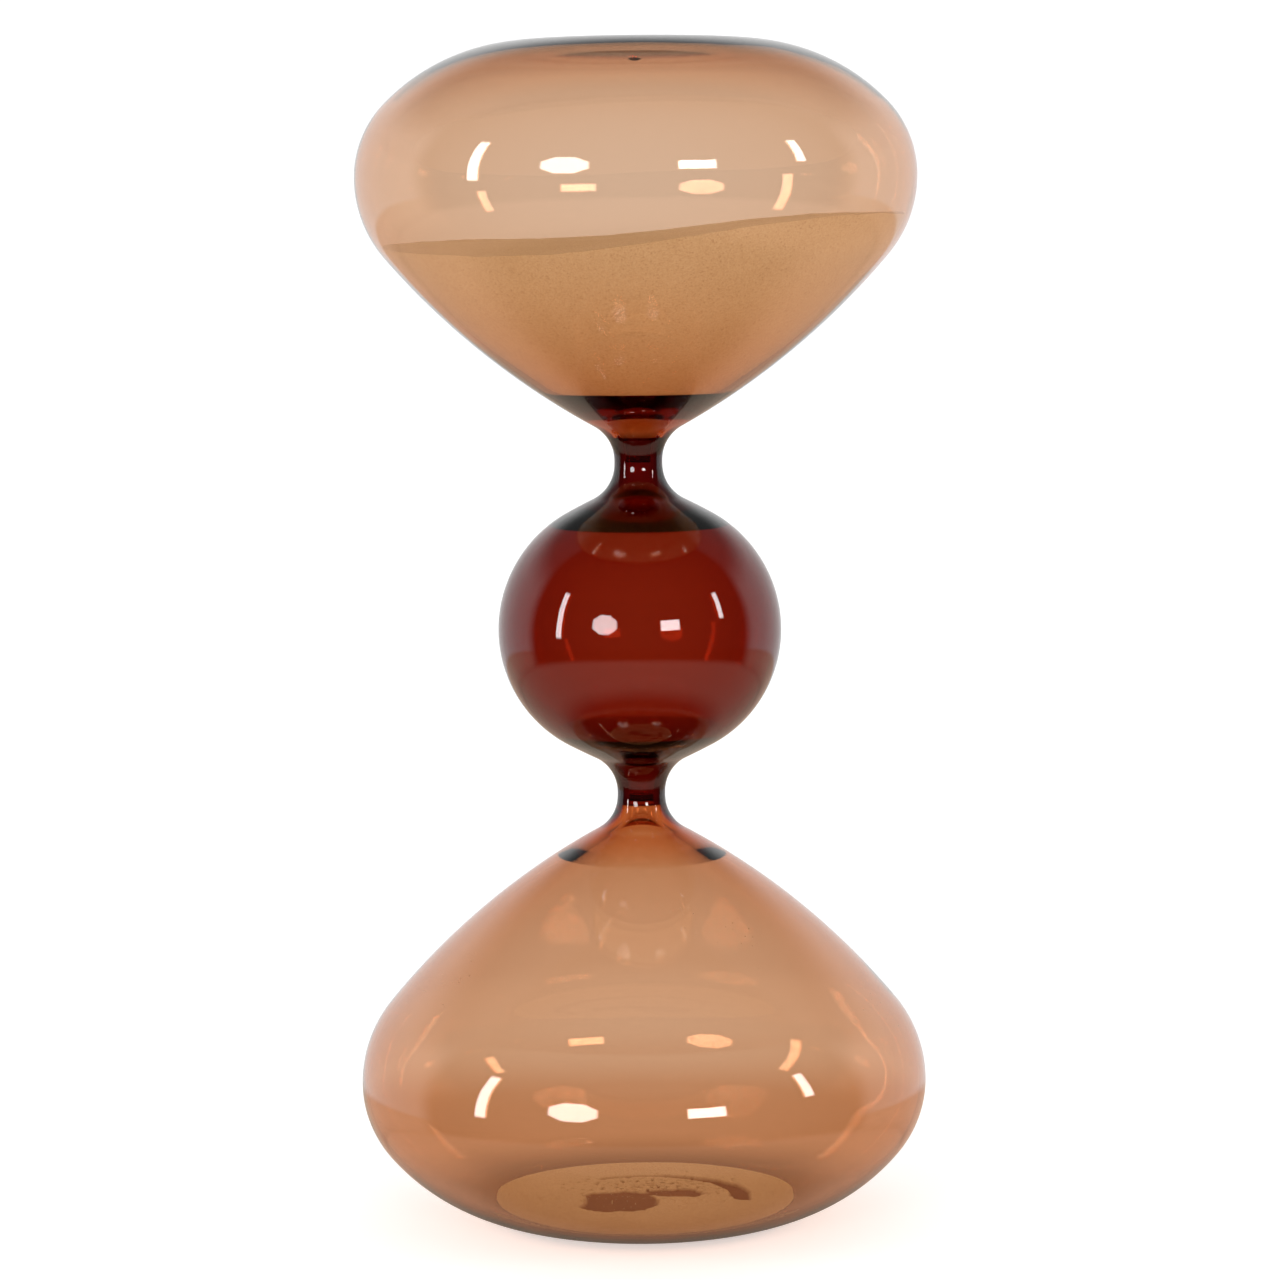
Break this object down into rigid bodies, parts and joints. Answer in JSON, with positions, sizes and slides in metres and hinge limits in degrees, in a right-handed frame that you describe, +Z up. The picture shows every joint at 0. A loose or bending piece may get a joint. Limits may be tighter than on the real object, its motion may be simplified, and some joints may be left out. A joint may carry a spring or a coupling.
{
  "type": "hourglass",
  "caption": "Frameless blown-glass hourglass: broad flattened end bulbs joined through a small dark centre bulb, with sand resting in the upper bulb and a thin layer in the lower.",
  "frame": {"origin": "middle of the lower foot, on the plane it stands on", "axes": "+Z up the glass's own axis; +X to the right and -Y toward the viewer, the low side of the upper sand lying toward -X"},
  "size_m": [0.2412, 0.2412, 0.5],
  "materials": {
    "amber_glass": "clear polished blown glass, pale amber",
    "dark_glass": "clear polished blown glass, deep red-brown",
    "disc_glass": "fire-polished glass disc",
    "sand": "fine pale sand, matt, loose grains"
  },
  "bodies": {
    "root": {"lower_bulb": "amber_glass", "upper_bulb": "amber_glass", "centre_bulb": "dark_glass", "lower_orifice_disc": "disc_glass", "upper_orifice_disc": "disc_glass", "port_seal": "amber_glass", "upper_sand": "sand", "lower_sand": "sand"}
  },
  "joints": []
}
